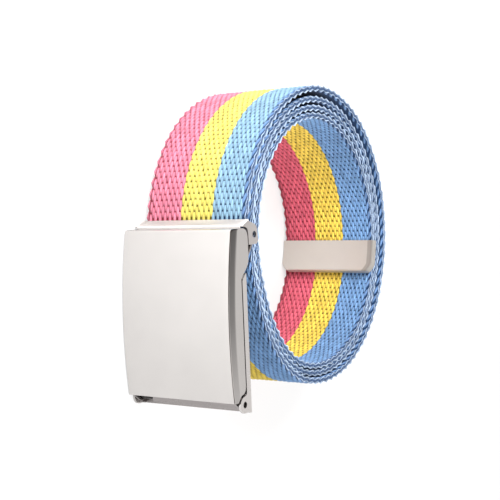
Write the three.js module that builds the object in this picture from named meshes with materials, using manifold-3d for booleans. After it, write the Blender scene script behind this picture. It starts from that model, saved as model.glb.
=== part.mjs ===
// A canvas web belt rolled up on its edge: a striped woven strap wound into a coil, a folded metal tip
// on its inner end and a flip-top buckle gripped on its outer end. Millimetres, +Z up.
// The coil turns anticlockwise seen from above, from the tip at the back out to the buckle in front.
import * as THREE from "three";
import { mergeVertices } from "three/addons/utils/BufferGeometryUtils.js";
import Module from "manifold-3d";

const wasm = await Module();
wasm.setup();

// Strap
const STRAP_WIDTH = 38;
const STRAP_THICKNESS = 2.2;
const STRAP_EDGE_ROUND = 0.8;
const TURN_GAP = 0.32; // clear space between two turns pressed together
const COIL_RADIUS = 51.5; // outer face of the outermost turn
const COIL_STEP_DEG = 6;

// Buckle
const OVERHANG = 1.5; // buckle past the strap's edge, on each side
const BUCKLE_TURN_DEG = 4.5; // how far the buckle leans in towards the coil at its hinge end
const BUCKLE_OFFSET = 0.9; // from the coil's middle along the belt to the clamp's pins
const STRAP_STANDOFF = 2.7; // from the frame's back plane in to the strap's outer face
const FRAME_SHEET = 0.8;
const SIDE_SHEET = 0.7;
const FRAME_WALL = 2.3; // height of the frame's side walls
const RAMP_START = 11; // where the frame's back starts to slope in to the clamp
const COVER_LENGTH = 52.3;
const COVER_OVERLAP = 2.3; // cover past the clamp's pins
const PIN_SETBACK = 1.2; // hinge pin past the cover's hinge end
const COVER_SHEET = 0.8;
const COVER_RISE_CLAMP = 6.9; // height of the cover's face at the clamp end
const COVER_RISE_HINGE = 8.7;
const COVER_BULGE = 2.1;
const COVER_EDGE_ROUND = 1.2;
const COVER_END_WALL = 1.7; // how far the cover's clamp end turns in
const PIN_RADIUS = 0.8;
const PIN_HEIGHT = 3.6; // pin's axis in front of the frame's back plane
const EAR_RADIUS = 2.6;
const EAR_INSET = 0.4; // from the frame's end back to its ears
const CAM_RADIUS = 1.7; // cover's cam, which presses the belt's free end on the frame
const CAM_FLAT = 1.25;
const JAW_SHEET = 0.6;
const JAW_PIN_RADIUS = 0.45;
const JAW_PIN_LENGTH = 3.5;
const PIN_INSET = 0.15; // pin ends below the faces that they come out of
const HEM_THICKNESS = 1.2; // folded end of the frame, behind the strap's end
const CLEAR = 0.3; // between pieces that touch
const BORE_CLEAR = 0.2; // around a pin or rivet

// Tip
const TIP_LENGTH = 12.2;
const TIP_SHEET = 0.55;
const TIP_OVERHANG = 0.6; // tip past the strap's edge, on each side
const TIP_BEVEL = 0.5;
const PINCH = 0.36; // how much thinner the strap is inside the tip and the clamp

// Round shapes
const BORE_SIDES = 20;

// Angles of the coil, in degrees from +X, counted up along the strap from its inner end.
const TURN = 360;
const STRAP_START = 72;
const STRAP_END = 3 * TURN + 272;
const LAST_TURN = STRAP_END - TURN;
const STEP_OUT_START = LAST_TURN + 18; // the turn behind the buckle moves out over these angles
const STEP_OUT_END = LAST_TURN + 76;

// Slack between a turn and the next one out, as a share of the strap's thickness.
const TURN_SLACK = [
  { angle: STRAP_START, share: 0.28 },
  { angle: STRAP_START + 20, share: 0.28 },
  { angle: 180, share: 0.03 },
  { angle: 400, share: 0.0 },
  { angle: 450, share: 0.16 },
  { angle: 540, share: 0.2 },
  { angle: 620, share: 0.0 },
  { angle: 750, share: 0.0 },
  { angle: 810, share: 0.3 },
  { angle: 900, share: 0.48 },
  { angle: LAST_TURN, share: 0.6 },
];

// How far the strap's lower edge is off the surface. The tip and the wider buckle lift it at its two
// ends, and the turn behind the clamp passes over the clamp's lower ear.
const STRAP_RISE = [
  { angle: STRAP_START, height: TIP_OVERHANG },
  { angle: STRAP_START + 18, height: TIP_OVERHANG },
  { angle: 150, height: 0 },
  { angle: LAST_TURN - 130, height: 0 },
  { angle: LAST_TURN - 20, height: SIDE_SHEET + CLEAR },
  { angle: LAST_TURN + 60, height: SIDE_SHEET + CLEAR },
  { angle: STRAP_END - 40, height: OVERHANG },
  { angle: STRAP_END, height: OVERHANG },
];

function smooth(t) {
  const c = Math.min(Math.max(t, 0), 1);
  return c * c * (3 - 2 * c);
}

function tableValue(table, column, angle) {
  let value = table[0][column];
  for (let i = 1; i < table.length; i++) {
    const a = table[i - 1];
    const b = table[i];
    value += (b[column] - a[column]) * smooth((angle - a.angle) / (b.angle - a.angle));
  }
  return value;
}

// Distance between the middles of a turn and the next one out.
function turnPitch(angle) {
  return STRAP_THICKNESS + TURN_GAP + tableValue(TURN_SLACK, "share", angle) * STRAP_THICKNESS;
}

function coilRadius(angle) {
  if (angle < LAST_TURN) {
    return coilRadius(angle + TURN) - turnPitch(angle);
  }
  const moved = smooth((angle - STEP_OUT_START) / (STEP_OUT_END - STEP_OUT_START));
  return COIL_RADIUS - STRAP_THICKNESS / 2 - turnPitch(LAST_TURN) * (1 - moved);
}

function coilPoint(angle, out, height) {
  const a = THREE.MathUtils.degToRad(angle);
  const r = coilRadius(angle) + out;
  return new THREE.Vector3(r * Math.cos(a), r * Math.sin(a), height);
}

// The strap is pressed thinner inside the tip and in the clamp.
const TIP_ANGLE = THREE.MathUtils.radToDeg(TIP_LENGTH / coilRadius(STRAP_START));
const CLAMP_ANGLE = 8;
function pressed(angle) {
  const atTip = 1 - smooth((angle - STRAP_START - TIP_ANGLE) / 6);
  const atClamp = smooth((angle - (STRAP_END - CLAMP_ANGLE)) / 6);
  return 1 - (PINCH / STRAP_THICKNESS) * Math.max(atTip, atClamp);
}

function mesh(name, geometry, color, roughness, metalness) {
  const material = new THREE.MeshStandardMaterial({ color, roughness, metalness });
  const made = new THREE.Mesh(geometry, material);
  made.name = name;
  return made;
}

function toSolid(geometry) {
  const bare = geometry.clone();
  bare.deleteAttribute("normal");
  bare.deleteAttribute("uv");
  const merged = mergeVertices(bare, 1e-4);
  return new wasm.Manifold(
    new wasm.Mesh({
      numProp: 3,
      vertProperties: new Float32Array(merged.attributes.position.array),
      triVerts: new Uint32Array(merged.index.array),
    }),
  );
}

function toGeometry(solid) {
  const out = solid.getMesh();
  const geometry = new THREE.BufferGeometry();
  geometry.setAttribute("position", new THREE.BufferAttribute(out.vertProperties, 3));
  geometry.setIndex(new THREE.BufferAttribute(out.triVerts, 1));
  geometry.computeVertexNormals();
  return geometry;
}

function joined(solids) {
  return solids.reduce((whole, next) => whole.add(next));
}

// A flat outline in the buckle's side view (along the belt, outwards), made a slab from z0 to z1.
// The outline's second number is the depth in towards the coil, so outward faces are negative.
function slab(shape, z0, z1, curveSegments = 8) {
  const options = { depth: z1 - z0, bevelEnabled: false, curveSegments };
  const geometry = new THREE.ExtrudeGeometry(shape, options);
  geometry.translate(0, 0, z0);
  return toSolid(geometry);
}

function rod(x, y, radius, z0, z1) {
  const geometry = new THREE.CylinderGeometry(radius, radius, z1 - z0, BORE_SIDES);
  geometry.rotateX(Math.PI / 2);
  geometry.translate(x, y, (z0 + z1) / 2);
  return toSolid(geometry);
}

// The outline of a bent sheet: its middle line given a thickness, with mitred bends.
function sheetOutline(line, thickness) {
  const left = [];
  const right = [];
  line.forEach((point, i) => {
    const before = line[Math.max(i - 1, 0)];
    const after = line[Math.min(i + 1, line.length - 1)];
    const a = new THREE.Vector2().subVectors(point, before);
    const b = new THREE.Vector2().subVectors(after, point);
    if (a.length() === 0) a.copy(b);
    if (b.length() === 0) b.copy(a);
    a.normalize();
    b.normalize();
    const normal = new THREE.Vector2(-(a.y + b.y), a.x + b.x).normalize();
    const reach = thickness / 2 / (normal.x * -a.y + normal.y * a.x);
    left.push(point.clone().addScaledVector(normal, reach));
    right.push(point.clone().addScaledVector(normal, -reach));
  });
  return new THREE.Shape([...left, ...right.reverse()]);
}

// Strap: a flat length of webbing with rounded edges, bent round the coil
function roundedSection(thickness, width, round) {
  const section = new THREE.Shape();
  const x = thickness / 2;
  const y = width / 2;
  section.moveTo(-x, -y + round);
  section.quadraticCurveTo(-x, -y, -x + round, -y);
  section.lineTo(x - round, -y);
  section.quadraticCurveTo(x, -y, x, -y + round);
  section.lineTo(x, y - round);
  section.quadraticCurveTo(x, y, x - round, y);
  section.lineTo(-x + round, y);
  section.quadraticCurveTo(-x, y, -x, y - round);
  return section;
}

function strapGeometry() {
  const sweep = STRAP_END - STRAP_START;
  const section = roundedSection(STRAP_THICKNESS, STRAP_WIDTH, STRAP_EDGE_ROUND);
  const steps = Math.round(sweep / COIL_STEP_DEG);
  const flat = new THREE.ExtrudeGeometry(section, {
    depth: sweep, steps, bevelEnabled: false, curveSegments: 2,
  });
  const p = flat.attributes.position;
  for (let i = 0; i < p.count; i++) {
    const angle = STRAP_END - p.getZ(i);
    const rise = tableValue(STRAP_RISE, "height", angle);
    const height = p.getY(i) + STRAP_WIDTH / 2 + rise;
    const point = coilPoint(angle, p.getX(i) * pressed(angle), height);
    p.setXYZ(i, point.x, point.y, point.z);
  }
  return toGeometry(toSolid(flat));
}

// Tip: one sheet folded round the strap's inner end, closed at its two sides
const TIP_WIDTH = STRAP_WIDTH + 2 * TIP_OVERHANG;
const TIP_ROOM = STRAP_THICKNESS - PINCH + CLEAR;
function tipGeometry() {
  const radius = coilRadius(STRAP_START);
  const perMm = THREE.MathUtils.radToDeg(1 / radius);
  const front = STRAP_START - (CLEAR + TIP_SHEET) * perMm;
  const half = TIP_ROOM / 2 + TIP_SHEET;
  const outer = new THREE.Shape([
    new THREE.Vector2(-half + TIP_BEVEL, 0),
    new THREE.Vector2(half - TIP_BEVEL, 0),
    new THREE.Vector2(half, TIP_BEVEL),
    new THREE.Vector2(half, TIP_WIDTH - TIP_BEVEL),
    new THREE.Vector2(half - TIP_BEVEL, TIP_WIDTH),
    new THREE.Vector2(-half + TIP_BEVEL, TIP_WIDTH),
    new THREE.Vector2(-half, TIP_WIDTH - TIP_BEVEL),
    new THREE.Vector2(-half, TIP_BEVEL),
  ]);
  const wrap = (shape, from, length, steps) => {
    const options = { depth: length, steps, bevelEnabled: false };
    const flat = new THREE.ExtrudeGeometry(shape, options);
    const p = flat.attributes.position;
    for (let i = 0; i < p.count; i++) {
      const angle = from + (length - p.getZ(i)) * perMm;
      const point = coilPoint(angle, p.getX(i), p.getY(i));
      p.setXYZ(i, point.x, point.y, point.z);
    }
    return toSolid(flat);
  };
  const room = TIP_ROOM / 2;
  const low = TIP_OVERHANG - CLEAR;
  const inner = new THREE.Shape([
    new THREE.Vector2(-room, low),
    new THREE.Vector2(room, low),
    new THREE.Vector2(room, TIP_WIDTH - low),
    new THREE.Vector2(-room, TIP_WIDTH - low),
  ]);
  const body = wrap(outer, front, TIP_LENGTH, 6);
  const space = wrap(inner, front + TIP_SHEET * perMm, TIP_LENGTH, 6);
  return toGeometry(body.subtract(space));
}

// Buckle's side view. x runs along the belt from the clamp to the hinge, y in towards the coil.
const BUCKLE_WIDTH = STRAP_WIDTH + 2 * OVERHANG;
const CLAMP_EDGE = -COVER_OVERLAP; // cover's clamp end
const HINGE_EDGE = CLAMP_EDGE + COVER_LENGTH; // cover's hinge end
const PIN_X = HINGE_EDGE + PIN_SETBACK;
const PIN_Y = -PIN_HEIGHT;
const FRAME_LENGTH = PIN_X + EAR_RADIUS + EAR_INSET;
const INSIDE = SIDE_SHEET + CLEAR; // in from each side, past the side walls and skirts
const PRESSED_BACK = STRAP_STANDOFF + STRAP_THICKNESS - PINCH / 2; // strap's inner face in the clamp
const HEM_Y = PRESSED_BACK + CLEAR + HEM_THICKNESS / 2;
const HEM_START = -1.2;
const HEM_END = 3;

function points(pairs) {
  return pairs.map(([x, y]) => new THREE.Vector2(x, y));
}

function frameWall() {
  const top = -FRAME_WALL;
  const ear = PIN_X - EAR_RADIUS;
  const wall = new THREE.Shape();
  wall.moveTo(RAMP_START + 0.3, 0);
  wall.lineTo(FRAME_LENGTH, 0);
  wall.lineTo(FRAME_LENGTH, -FRAME_SHEET);
  wall.lineTo(PIN_X + EAR_RADIUS, -FRAME_SHEET - EAR_INSET);
  wall.absarc(PIN_X, PIN_Y, EAR_RADIUS, 0, -Math.PI, true);
  wall.quadraticCurveTo(ear, top, ear - 1.5, top);
  wall.lineTo(RAMP_START + 2.2, top);
  return wall;
}

function frameGeometry() {
  const back = -FRAME_SHEET / 2;
  const spine = sheetOutline(points([[RAMP_START + 0.6, back], [FRAME_LENGTH, back]]), FRAME_SHEET);
  const ramp = sheetOutline(
    points([[HEM_START + 0.6, HEM_Y], [HEM_END, HEM_Y], [RAMP_START, back], [RAMP_START + 2, back]]),
    FRAME_SHEET,
  );
  const hem = sheetOutline(points([[HEM_START, HEM_Y], [HEM_END - 0.8, HEM_Y]]), HEM_THICKNESS);
  const bore = JAW_PIN_RADIUS + BORE_CLEAR;
  const deep = PIN_INSET + JAW_PIN_LENGTH + CLEAR;
  const frame = joined([
    slab(spine, SIDE_SHEET / 2, BUCKLE_WIDTH - SIDE_SHEET / 2),
    slab(frameWall(), 0, SIDE_SHEET),
    slab(frameWall(), BUCKLE_WIDTH - SIDE_SHEET, BUCKLE_WIDTH),
    slab(ramp, INSIDE, BUCKLE_WIDTH - INSIDE),
    slab(hem, INSIDE, BUCKLE_WIDTH - INSIDE),
  ]);
  return toGeometry(
    frame
      .subtract(rod(PIN_X, PIN_Y, PIN_RADIUS + BORE_CLEAR, -1, BUCKLE_WIDTH + 1))
      .subtract(rod(0, HEM_Y, bore, -1, deep))
      .subtract(rod(0, HEM_Y, bore, BUCKLE_WIDTH - deep, BUCKLE_WIDTH + 1)),
  );
}

// Height of the cover's outer face over the frame's back plane, t from the clamp end to the hinge end
function coverRise(t) {
  const chord = COVER_RISE_CLAMP + (COVER_RISE_HINGE - COVER_RISE_CLAMP) * t;
  return chord + COVER_BULGE * 4 * t * (1 - t);
}

// The cover's sheet before it is trimmed: a channel with rounded corners, bulged along its length
function coverChannel() {
  const r = COVER_EDGE_ROUND;
  const deep = COVER_RISE_HINGE + COVER_BULGE + 6;
  const w = BUCKLE_WIDTH;
  const s = SIDE_SHEET;
  const inner = Math.max(r - s, 0.3);
  const section = new THREE.Shape();
  section.moveTo(0, deep);
  section.lineTo(0, r);
  section.quadraticCurveTo(0, 0, r, 0);
  section.lineTo(w - r, 0);
  section.quadraticCurveTo(w, 0, w, r);
  section.lineTo(w, deep);
  section.lineTo(w - s, deep);
  section.lineTo(w - s, COVER_SHEET + inner);
  section.quadraticCurveTo(w - s, COVER_SHEET, w - s - inner, COVER_SHEET);
  section.lineTo(s + inner, COVER_SHEET);
  section.quadraticCurveTo(s, COVER_SHEET, s, COVER_SHEET + inner);
  section.lineTo(s, deep);
  const options = { depth: 1, steps: 14, bevelEnabled: false, curveSegments: 3 };
  const channel = new THREE.ExtrudeGeometry(section, options);
  const p = channel.attributes.position;
  for (let i = 0; i < p.count; i++) {
    const t = 1 - p.getZ(i);
    p.setXYZ(i, CLAMP_EDGE + COVER_LENGTH * t, p.getY(i) - coverRise(t), p.getX(i));
  }
  return toSolid(channel);
}

// The cover seen from the side: its face, a lobe beside the clamp, straight skirts, a rounded corner
const SKIRT_EDGE = -(FRAME_WALL + 0.5);
const LOBE_DEPTH = 1.7;
const LOBE_END = 7;
function coverOutline() {
  const far = -(COVER_RISE_HINGE + COVER_BULGE + 5);
  const corner = HINGE_EDGE - 1.9;
  const outline = new THREE.Shape();
  outline.moveTo(CLAMP_EDGE - 1, far);
  outline.lineTo(CLAMP_EDGE, -1.8);
  outline.quadraticCurveTo(CLAMP_EDGE + 0.2, LOBE_DEPTH, CLAMP_EDGE + 3.6, LOBE_DEPTH);
  outline.lineTo(LOBE_END, LOBE_DEPTH);
  outline.quadraticCurveTo(LOBE_END + 1.6, LOBE_DEPTH, RAMP_START - 0.4, -0.4);
  outline.lineTo(RAMP_START + 1.8, SKIRT_EDGE);
  outline.lineTo(corner - 2.6, SKIRT_EDGE);
  outline.quadraticCurveTo(corner - 0.3, SKIRT_EDGE, corner, SKIRT_EDGE - 2.6);
  outline.lineTo(HINGE_EDGE, -COVER_RISE_HINGE + COVER_EDGE_ROUND + 0.3);
  outline.lineTo(HINGE_EDGE + 1, far);
  return outline;
}

// The cover's lug: a plate from its face down to the pin
function coverLug() {
  const top = -coverRise(0.95) + COVER_SHEET / 2;
  const lug = new THREE.Shape();
  lug.moveTo(PIN_X + CAM_RADIUS, PIN_Y);
  lug.absarc(PIN_X, PIN_Y, CAM_RADIUS, 0, Math.PI, false);
  lug.lineTo(PIN_X - 4.6, PIN_Y - 2.4);
  lug.lineTo(PIN_X - 4.6, top);
  lug.lineTo(HINGE_EDGE - 0.3, -coverRise(1) + COVER_SHEET / 2);
  lug.lineTo(PIN_X + CAM_FLAT, PIN_Y - CAM_RADIUS * 0.7);
  return lug;
}

// The cam round the pin, with a flat that faces the frame when the cover is open
function coverCam() {
  const cam = new THREE.Shape();
  const chord = Math.sqrt(CAM_RADIUS ** 2 - CAM_FLAT ** 2);
  cam.moveTo(PIN_X + CAM_FLAT, PIN_Y + chord);
  cam.absarc(PIN_X, PIN_Y, CAM_RADIUS, Math.atan2(chord, CAM_FLAT), Math.PI * 1.25, false);
  cam.lineTo(PIN_X + CAM_FLAT, PIN_Y - CAM_FLAT);
  return cam;
}

function coverGeometry() {
  const shell = coverChannel().intersect(slab(coverOutline(), -1, BUCKLE_WIDTH + 1));
  const wallX = CLAMP_EDGE + COVER_SHEET / 2;
  const endWall = sheetOutline(
    points([
      [wallX, -COVER_RISE_CLAMP + COVER_SHEET / 2],
      [wallX, -COVER_RISE_CLAMP + COVER_END_WALL],
    ]),
    COVER_SHEET,
  );
  const lugEnd = INSIDE + SIDE_SHEET;
  const cover = joined([
    shell,
    slab(endWall, SIDE_SHEET / 2, BUCKLE_WIDTH - SIDE_SHEET / 2),
    slab(coverLug(), INSIDE, lugEnd),
    slab(coverLug(), BUCKLE_WIDTH - lugEnd, BUCKLE_WIDTH - INSIDE),
    slab(coverCam(), INSIDE, BUCKLE_WIDTH - INSIDE),
  ]);
  const bore = rod(PIN_X, PIN_Y, PIN_RADIUS + BORE_CLEAR, -1, BUCKLE_WIDTH + 1);
  return toGeometry(cover.subtract(bore));
}

// Clamp jaw: a lip across the strap's outer side, a web under the cover, a row of teeth and two ears
const JAW_TIP_X = -4.6;
const JAW_ROOT_X = -2.9;
const JAW_ROOT_Y = -0.9;
const JAW_TOOTH_X = 0.5;
const JAW_EAR_END = 3;
function jawEar() {
  const low = LOBE_DEPTH + 0.45;
  const edge = CLAMP_EDGE - 0.4;
  const ear = new THREE.Shape();
  ear.moveTo(JAW_TIP_X + 0.2, STRAP_STANDOFF - 0.4);
  ear.lineTo(JAW_ROOT_X, JAW_ROOT_Y);
  ear.lineTo(edge, JAW_ROOT_Y);
  ear.quadraticCurveTo(edge + 0.1, low, edge + 3.6, low);
  ear.lineTo(JAW_EAR_END, low);
  ear.lineTo(JAW_EAR_END, HEM_Y + 0.9);
  ear.quadraticCurveTo(JAW_EAR_END, HEM_Y + 2.2, JAW_EAR_END - 1.5, HEM_Y + 2.2);
  ear.lineTo(-1.4, HEM_Y + 1.8);
  ear.quadraticCurveTo(-3.2, HEM_Y + 1.4, -3.5, HEM_Y - 0.6);
  return ear;
}

function jawGeometry() {
  const strapFace = STRAP_STANDOFF - CLEAR;
  const tip = [JAW_TIP_X, strapFace + 0.3];
  const web = sheetOutline(
    points([tip, [JAW_ROOT_X, JAW_ROOT_Y], [JAW_TOOTH_X, JAW_ROOT_Y], [JAW_TOOTH_X, strapFace]]),
    JAW_SHEET,
  );
  const lip = sheetOutline(points([tip, [JAW_ROOT_X, JAW_ROOT_Y]]), JAW_SHEET);
  const jaw = joined([
    slab(web, INSIDE, BUCKLE_WIDTH - INSIDE),
    slab(lip, 0, BUCKLE_WIDTH),
    slab(jawEar(), 0, SIDE_SHEET),
    slab(jawEar(), BUCKLE_WIDTH - SIDE_SHEET, BUCKLE_WIDTH),
  ]);
  return toGeometry(
    jaw.subtract(rod(0, HEM_Y, JAW_PIN_RADIUS + BORE_CLEAR, -1, BUCKLE_WIDTH + 1)),
  );
}

// A pin along the width of the buckle, at a point of its side view
function pinMesh(name, x, y, radius, z0, z1) {
  const geometry = new THREE.CylinderGeometry(radius, radius, z1 - z0, BORE_SIDES);
  geometry.rotateX(Math.PI / 2);
  const pin = mesh(name, geometry, 0x9d9a98, 0.35, 1);
  pin.position.set(x, y, (z0 + z1) / 2);
  return pin;
}

function buckle() {
  const group = new THREE.Group();
  const top = BUCKLE_WIDTH - PIN_INSET;
  group.add(
    mesh("buckle_frame", frameGeometry(), 0xc9c5c2, 0.3, 1),
    mesh("buckle_cover", coverGeometry(), 0xd6d2cf, 0.18, 1),
    mesh("clamp_jaw", jawGeometry(), 0xc6c1be, 0.3, 1),
    pinMesh("cover_pin", PIN_X, PIN_Y, PIN_RADIUS, PIN_INSET, top),
    pinMesh("clamp_pin_lower", 0, HEM_Y, JAW_PIN_RADIUS, PIN_INSET, PIN_INSET + JAW_PIN_LENGTH),
    pinMesh("clamp_pin_upper", 0, HEM_Y, JAW_PIN_RADIUS, top - JAW_PIN_LENGTH, top),
  );
  group.rotation.z = THREE.MathUtils.degToRad(BUCKLE_TURN_DEG);
  group.position.set(BUCKLE_OFFSET, -(COIL_RADIUS + STRAP_STANDOFF), 0);
  return group;
}

// The whole belt, stood on its lower edge with the middle of its footprint at the origin
const coil = new THREE.Group();
coil.add(
  mesh("strap", strapGeometry(), 0xe9c24d, 0.85, 0),
  mesh("strap_tip", tipGeometry(), 0xcfcac6, 0.28, 1),
  buckle(),
);
coil.updateMatrixWorld(true);
const middle = new THREE.Box3().setFromObject(coil, true).getCenter(new THREE.Vector3());
coil.position.set(-middle.x, -middle.y, 0);

const belt = new THREE.Group();
belt.add(coil);
export default belt;
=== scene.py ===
"""Dresses the canvas web belt: woven striped strap, folded metal tip and flip-top buckle, on a pale floor.

Lengths in the tables below are millimetres, as on a drawing. Meshes are in metres. The strap is woven flat
(x along it, y out of the coil, z up) and then wound onto the coil.
"""

import math
from collections import namedtuple

import bmesh
import bpy
import numpy as np
from bpy.props import FloatProperty, FloatVectorProperty, IntProperty, PointerProperty
from mathutils import Matrix, Vector


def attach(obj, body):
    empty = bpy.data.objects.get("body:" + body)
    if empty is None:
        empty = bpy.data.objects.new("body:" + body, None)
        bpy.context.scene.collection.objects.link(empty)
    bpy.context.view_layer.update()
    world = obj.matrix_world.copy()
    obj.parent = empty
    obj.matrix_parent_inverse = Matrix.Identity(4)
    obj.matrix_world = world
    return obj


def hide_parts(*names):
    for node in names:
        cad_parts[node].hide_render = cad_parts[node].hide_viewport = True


bl_info = {
    "name": "Canvas Web Belt",
    "version": (1, 0, 0),
    "blender": (4, 5, 0),
    "location": "View3D > Sidebar > Belt",
    "description": "Builds a rolled web belt with a flip-top buckle over its packed model",
    "category": "Object",
}

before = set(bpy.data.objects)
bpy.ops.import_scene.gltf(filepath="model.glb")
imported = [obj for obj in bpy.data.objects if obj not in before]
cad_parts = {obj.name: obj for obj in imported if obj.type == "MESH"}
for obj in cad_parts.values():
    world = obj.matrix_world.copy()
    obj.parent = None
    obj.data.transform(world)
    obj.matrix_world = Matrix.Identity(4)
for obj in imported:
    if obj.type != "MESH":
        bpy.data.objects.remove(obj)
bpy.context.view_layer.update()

MM = 0.001

# Strap
STRAP_WIDTH = 38.0
STRAP_THICKNESS = 2.2
TURN_GAP = 0.32
COIL_RADIUS = 51.5
COIL_CENTRE = (-1.761, 5.440)
STRAP_START = 72.0
STRAP_END = 1352.0
LAST_TURN = STRAP_END - 360.0
STEP_OUT = (LAST_TURN + 18.0, LAST_TURN + 76.0)
TIP_LENGTH = 12.2
# How much thinner the strap is where the tip and the clamp hold it, and over how many degrees it thins
PINCH, PINCH_FADE = 0.36, 6

# Slack between a turn and the next one out: angle along the strap, share of its thickness
TURN_SLACK = (
    (72, 0.28), (92, 0.28), (180, 0.03), (400, 0.0), (450, 0.16), (540, 0.2),
    (620, 0.0), (750, 0.0), (810, 0.3), (900, 0.48), (LAST_TURN, 0.6),
)
# Lower edge of the strap off the floor: angle along the strap, height
STRAP_RISE = (
    (72, 0.6), (90, 0.6), (150, 0.0), (862, 0.0), (972, 1.0), (1052, 1.0), (1312, 1.5), (1352, 1.5),
)
# Where each stretch of the weave is built: first and last angle along the strap
OUTER_FACE = (962.0, STRAP_END - 1)
INNER_FACE = (STRAP_START + 2, 446.0)
WHOLE_EDGE = (STRAP_START + 2, STRAP_END - 1)

# Painted shadow where the strap leaves the clamp, under the buckle: its colours (rose, yellow, blue), and
# the angle where it ends and fades
CLAMP_SHADOW = ((0.60, 0.10, 0.15), (0.50, 0.37, 0.05), (0.12, 0.235, 0.43))
CLAMP_SHADOW_END, CLAMP_SHADOW_FADE = 1230, 160
# Colours between the yarns
SHADED = ((0.48, 0.04, 0.08), (0.26, 0.205, 0.008), (0.03, 0.08, 0.20))

# Buckle, seen from its side: u along the belt from the clamp to the hinge, v in towards the coil
BUCKLE_WIDTH = 41.0
BUCKLE_PLACE = (0.9 + COIL_CENTRE[0], -54.2 + COIL_CENTRE[1])
BUCKLE_TURN = math.radians(4.5)
SHEET = 0.8
SIDE_SHEET = 0.7
INSIDE = 1.0
CLAMP_EDGE = -2.3
HINGE_EDGE = 50.0
FRAME_END = 54.2
RAMP_START = 11.0
CAM_START = 7.2
HEM_V = 5.62
PIN_U, PIN_V = 51.2, -3.6
PIN_RADIUS, BORE_RADIUS = 0.8, 1.0
CLAMP_PIN_RADIUS, CLAMP_BORE_RADIUS = 0.98, 1.05
EAR_RADIUS, LUG_RADIUS = 2.6, 1.7
# Height of the cover's face over the frame: at the clamp, more at the hinge, and the bulge between them
COVER_HEIGHT, COVER_SLOPE, COVER_BULGE = 6.9, 1.8, 8.4

CAMERA_PLACE = (0.00354, -0.3182, 0.2113)
CAMERA_PITCH = 32
CAMERA_LENS = 75.9
LIGHT_AIM = (0.0, -0.005, 0.02)


def smooth(t):
    t = np.clip(t, 0.0, 1.0)
    return t * t * (3 - 2 * t)


def table_value(table, angle):
    value = np.full(angle.shape, float(table[0][1]))
    for (a, first), (b, second) in zip(table, table[1:]):
        value += (second - first) * smooth((angle - a) / (b - a))
    return value


def turn_pitch(angle):
    return STRAP_THICKNESS * (1 + table_value(TURN_SLACK, angle)) + TURN_GAP


def coil_radius(angle):
    """Radius of the strap's middle at angles along it, in mm."""
    angle = np.asarray(angle, float)
    start, end = STEP_OUT
    under = turn_pitch(np.array([LAST_TURN]))[0]
    radius = COIL_RADIUS - STRAP_THICKNESS / 2 - under * (1 - smooth((angle - start) / (end - start)))
    wound = angle < LAST_TURN
    if wound.any():
        radius[wound] = coil_radius(angle[wound] + 360) - turn_pitch(angle[wound])
    return radius


ANGLES = np.linspace(STRAP_START - 8, STRAP_END, 5200)
_radius = coil_radius(ANGLES)
_line = np.stack([_radius * np.cos(np.radians(ANGLES)), _radius * np.sin(np.radians(ANGLES))], 1)
LENGTHS = np.concatenate([[0.0], np.cumsum(np.linalg.norm(np.diff(_line, axis=0), axis=1))])
LENGTHS -= np.interp(STRAP_START, ANGLES, LENGTHS)


def length_at(angle):
    """How far along the strap an angle of the coil is, in mm."""
    return float(np.interp(angle, ANGLES, LENGTHS))


def wind(flat, squeeze=True):
    """Winds flat points (along, out, up) in mm onto the coil and gives them in metres."""
    angle = np.interp(flat[:, 0], LENGTHS, ANGLES)
    tip_angle = math.degrees(TIP_LENGTH / coil_radius([STRAP_START])[0])
    at_tip = 1 - smooth((angle - STRAP_START - tip_angle) / PINCH_FADE)
    held = np.maximum(at_tip, smooth((angle - (STRAP_END - 8)) / PINCH_FADE))
    thin = 1 - (PINCH / STRAP_THICKNESS) * held if squeeze else 1.0
    radius = coil_radius(angle) + flat[:, 1] * thin
    turn = np.radians(angle)
    x = radius * np.cos(turn) + COIL_CENTRE[0]
    y = radius * np.sin(turn) + COIL_CENTRE[1]
    return np.stack([x, y, flat[:, 2] + table_value(STRAP_RISE, angle)], 1) * MM


def mesh_points(mesh):
    points = np.empty(len(mesh.vertices) * 3, np.float32)
    mesh.vertices.foreach_get("co", points)
    return points.reshape(-1, 3).astype(float)


def set_points(mesh, points):
    mesh.vertices.foreach_set("co", points.astype(np.float32).ravel())
    mesh.update()


def add_attribute(mesh, name, values):
    layer = mesh.attributes.new(name, "FLOAT", "POINT")
    layer.data.foreach_set("value", np.asarray(values, np.float32))


def add_thread_uv(mesh, flat):
    """UVs that run along the strap and round its section, 10 mm to a unit."""
    corner = np.empty(len(mesh.loops), np.int32)
    mesh.loops.foreach_get("vertex_index", corner)
    uv = np.stack([flat[:, 0] * 0.1, (flat[:, 1] + flat[:, 2]) * 0.1], 1)[corner]
    mesh.uv_layers.new(name="thread").data.foreach_set("uv", uv.astype(np.float32).ravel())


def new_piece(name, mesh, material, body, nodes):
    """Puts a finished mesh in the scene in place of its nodes, riding on a body."""
    mesh.name = name
    mesh.materials.append(material)
    mesh.polygons.foreach_set("use_smooth", np.ones(len(mesh.polygons), bool))
    piece = bpy.data.objects.new(name, mesh)
    bpy.context.scene.collection.objects.link(piece)
    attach(piece, body)
    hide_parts(*nodes)
    return piece


def finish_mesh(bm, name):
    mesh = bpy.data.meshes.new(name)
    bm.to_mesh(mesh)
    bm.free()
    return mesh


def soften_edges(piece, width, segments=2):
    """Rounds a metal piece's sharp edges and keeps its flat faces flat."""
    bevel = piece.modifiers.new("rounded edges", "BEVEL")
    bevel.width = width * MM
    bevel.segments = segments
    bevel.limit_method = "ANGLE"
    bevel.angle_limit = math.radians(38)
    bevel.use_clamp_overlap = True
    normals = piece.modifiers.new("flat faces", "WEIGHTED_NORMAL")
    normals.weight = 60


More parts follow.
